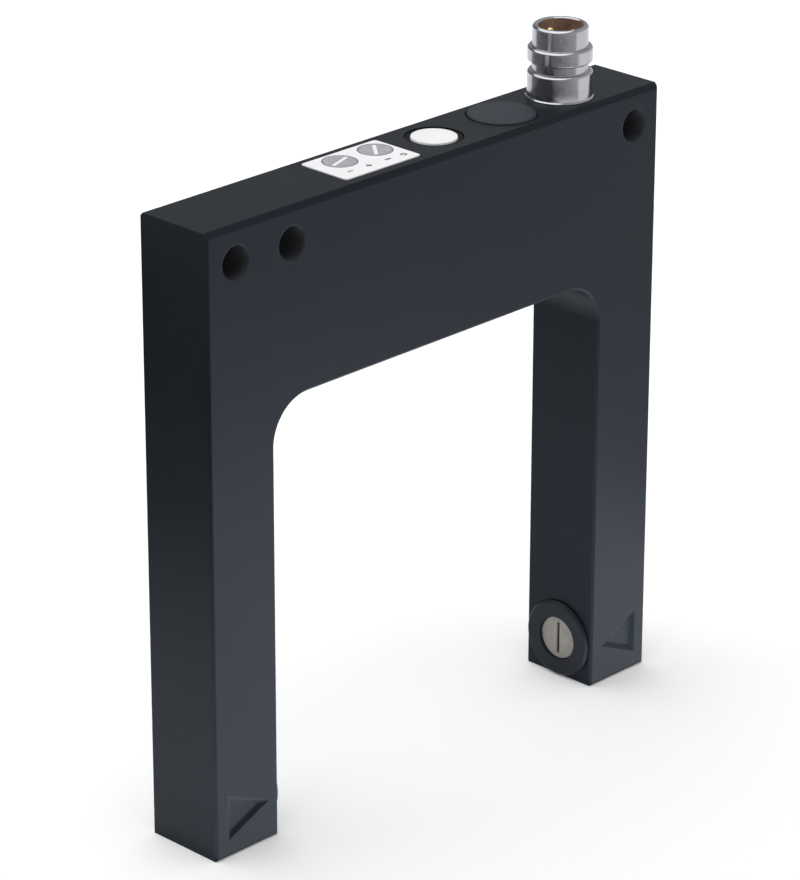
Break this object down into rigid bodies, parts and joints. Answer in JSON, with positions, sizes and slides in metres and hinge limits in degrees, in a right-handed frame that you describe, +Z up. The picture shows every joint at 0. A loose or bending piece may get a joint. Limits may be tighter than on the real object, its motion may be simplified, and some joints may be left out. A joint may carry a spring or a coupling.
{
  "type": "fork light barrier sensor",
  "caption": "Slim black metal fork sensor whose light beam crosses the open gap between its arm tips, with a round metal plug, status window and sealed adjusters on top.",
  "frame": {"origin": "middle of the fork's footprint, on the plane of the arm tips' end faces", "axes": "+Z up from the arm tips to the top face and the plug, +X along the width towards the plug's end, +Y from the front face with the triangles to the back cover"},
  "size_m": [0.082, 0.012, 0.0947],
  "materials": {
    "black_anodised": "black satin anodised",
    "nickel_plated": "nickel plated, bright",
    "gold_plated": "gold plated",
    "dark_plastic": "moulded, satin",
    "insert_plastic": "moulded, satin",
    "milky_plastic": "milky, translucent",
    "white_film": "printed film",
    "slit_metal": "etched, satin",
    "black_rubber": "moulded",
    "board_laminate": "green solder mask",
    "chip_plastic": "moulded",
    "capacitor_case": "moulded resin case",
    "clear_lens": "polished",
    "lamp_resin": "cast resin",
    "screw_steel": "stainless",
    "amber_film": "polyimide film",
    "white_plastic": "moulded",
    "blue_plastic": "moulded"
  },
  "bodies": {
    "fork": {"fork_housing": "black_anodised", "back_cover": "black_anodised", "cover_screws": "screw_steel", "connector_shell": "nickel_plated", "connector_insert": "insert_plastic", "connector_pins": "gold_plated", "connector_seal": "black_rubber", "led_window": "milky_plastic", "window_seal": "black_rubber", "status_led": "lamp_resin", "adjuster_cap": "dark_plastic", "cap_seal": "black_rubber", "sensitivity_trimmer_body": "blue_plastic", "mode_switch_body": "blue_plastic", "control_label": "white_film", "main_board": "board_laminate", "board_screws": "screw_steel", "signal_chip": "chip_plastic", "board_capacitors": "capacitor_case", "emitter_board": "board_laminate", "emitter_flex": "amber_film", "emitter_bezel": "dark_plastic", "emitter_slit_disc": "slit_metal", "emitter_lens": "clear_lens", "emitter_led": "lamp_resin", "receiver_board": "board_laminate", "receiver_flex": "amber_film", "receiver_bezel": "dark_plastic", "receiver_slit_disc": "slit_metal", "receiver_lens": "clear_lens", "receiver_diode": "chip_plastic"},
    "sensitivity_rotor": {"sensitivity_trimmer_rotor": "white_plastic"},
    "mode_rotor": {"mode_switch_rotor": "white_plastic"}
  },
  "joints": [
    {"name": "sensitivity_turn", "type": "hinge", "parent": "fork", "child": "sensitivity_rotor", "pos_m": [0.0147, 0, 0.08], "axis": [0, 0, 1], "range_deg": [-135, 135]},
    {"name": "mode_turn", "type": "hinge", "parent": "fork", "child": "mode_rotor", "pos_m": [0.0193, 0, 0.08], "axis": [0, 0, 1], "range_deg": [0, 90]}
  ]
}
